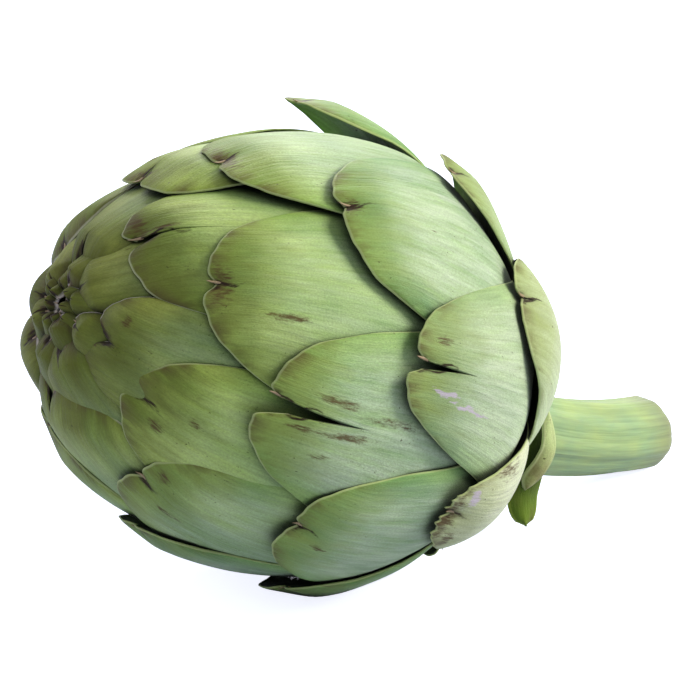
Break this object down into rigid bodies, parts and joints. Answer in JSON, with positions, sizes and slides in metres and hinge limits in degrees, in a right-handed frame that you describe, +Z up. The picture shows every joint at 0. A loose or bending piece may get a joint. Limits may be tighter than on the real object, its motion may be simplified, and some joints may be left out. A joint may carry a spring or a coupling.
{
  "type": "globe artichoke",
  "caption": "Globe artichoke picked with a length of stem and lying on its side: overlapping notched green bracts round a closed head, cut stem behind.",
  "frame": {"origin": "the resting spot under the belly of the head, on the ground", "axes": "+Z up; the stem runs back along +X and the closed end of the head looks along -X and upward"},
  "size_m": [0.1695, 0.0953, 0.1071],
  "materials": {
    "bracts": "satin green leaf",
    "stem": "pale green ribbed stalk"
  },
  "bodies": {
    "root": {"head": "bracts", "stem": "stem"}
  },
  "joints": []
}
